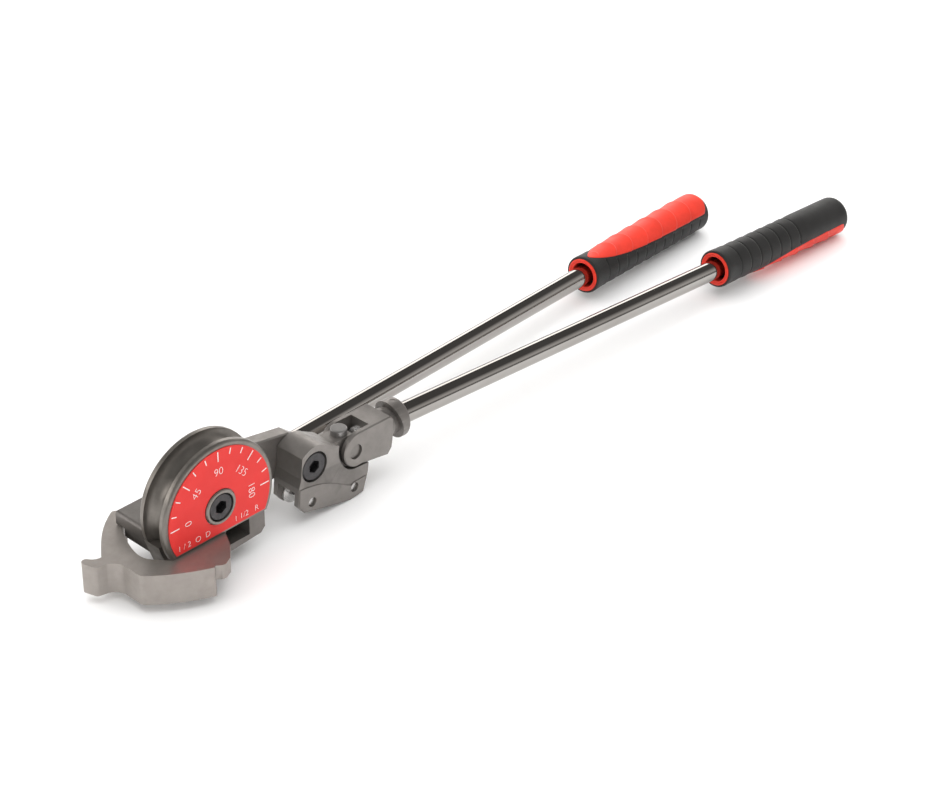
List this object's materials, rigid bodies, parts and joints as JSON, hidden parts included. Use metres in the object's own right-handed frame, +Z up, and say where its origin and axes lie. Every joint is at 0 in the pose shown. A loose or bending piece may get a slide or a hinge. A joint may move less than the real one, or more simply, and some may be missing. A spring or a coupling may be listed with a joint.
{
  "type": "manual tube bender",
  "caption": "Hand tube bender: grooved forming wheel with a red angle dial, swinging tube latch, roller head on a link arm, and two long chrome handles with ribbed black and red rubber grips",
  "frame": {"origin": "The bend centre: where the forming wheel's axis crosses the middle plane of its groove", "axes": "+X runs from the wheel toward the handle grips, +Y toward the back of the tool, away from the dial, and +Z up, out of the wheel's flat"},
  "size_m": [0.628, 0.1025, 0.0806],
  "materials": {
    "cast_steel": "satin grey phosphated casting",
    "latch_steel": "satin bead-blasted steel",
    "wheel_steel": "machined grey steel",
    "dial_red": "screen-printed red dial face",
    "dial_white": "screen-printed white marks",
    "black_oxide": "black oxide",
    "bright_steel": "ground bright steel",
    "chrome_tube": "polished chrome plate",
    "grip_black": "ribbed black rubber",
    "grip_red": "smooth red soft rubber",
    "bronze": "oiled bearing bronze"
  },
  "bodies": {
    "mandrel": {"frame_body": "cast_steel", "forming_wheel": "wheel_steel", "dial_plate": "dial_red", "dial_marks": "dial_white", "wheel_bushing": "wheel_steel", "wheel_pivot_screw": "black_oxide", "latch_pin": "bright_steel", "mandrel_tube": "chrome_tube", "socket_pin": "bright_steel", "mandrel_grip_sleeve": "grip_black", "mandrel_grip_insert": "grip_red", "mandrel_grip_liner": "grip_red"},
    "latch": {"tube_latch": "latch_steel"},
    "arm": {"link_arm": "cast_steel", "arm_bush": "bronze", "head_screw": "black_oxide"},
    "head": {"roller_head": "cast_steel", "roller_pins": "bright_steel", "stop_button": "bright_steel"},
    "roller_a": {"roller_front": "bright_steel"},
    "roller_b": {"roller_rear": "bright_steel"},
    "fork": {"fork": "cast_steel", "fork_pin": "black_oxide"},
    "handle": {"shoe_tube": "chrome_tube", "cam_collar": "cast_steel", "collar_pin": "bright_steel", "spring_seat": "bright_steel", "shoe_grip_sleeve": "grip_black", "shoe_grip_insert": "grip_red", "shoe_grip_liner": "grip_red"},
    "plunger": {"plunger": "bright_steel", "plunger_spring": "bright_steel"}
  },
  "joints": [
    {"name": "arm_swing", "type": "hinge", "parent": "mandrel", "child": "arm", "pos_m": [0, 0, 0], "axis": [0, -1, 0], "range_deg": [0, 165]},
    {"name": "latch_swing", "type": "hinge", "parent": "mandrel", "child": "latch", "pos_m": [0, 0, -0.0228], "axis": [0, 0, 1], "range_deg": [0, 70]},
    {"name": "head_swing", "type": "hinge", "parent": "arm", "child": "head", "pos_m": [0.0685, 0, -0.0077], "axis": [0, 1, 0], "range_deg": [0, 60]},
    {"name": "roller_front_spin", "type": "hinge", "parent": "head", "child": "roller_a", "pos_m": [0.066, 0, -0.0296], "axis": [0, 1, 0], "continuous": true},
    {"name": "roller_rear_spin", "type": "hinge", "parent": "head", "child": "roller_b", "pos_m": [0.0983, 0, -0.0353], "axis": [0, 1, 0], "continuous": true},
    {"name": "fork_swing", "type": "hinge", "parent": "head", "child": "fork", "pos_m": [0.1002, 0, -0.0127], "axis": [0, -1, 0], "range_deg": [0, 45]},
    {"name": "handle_twist", "type": "hinge", "parent": "fork", "child": "handle", "pos_m": [0.128, 0.0004, -0.0118], "axis": [0.9987, -0.031, -0.0406], "range_deg": [0, 30], "stiffness_Nm_per_rad": 0.3},
    {"name": "plunger_slide", "type": "slide", "parent": "fork", "child": "plunger", "axis": [0.9987, -0.031, -0.0406], "range_m": [0, 0.0053]}
  ],
  "couplings": [
    {"joint": "plunger_slide", "follows": "handle_twist", "m_per_rad": 0.00955}
  ]
}
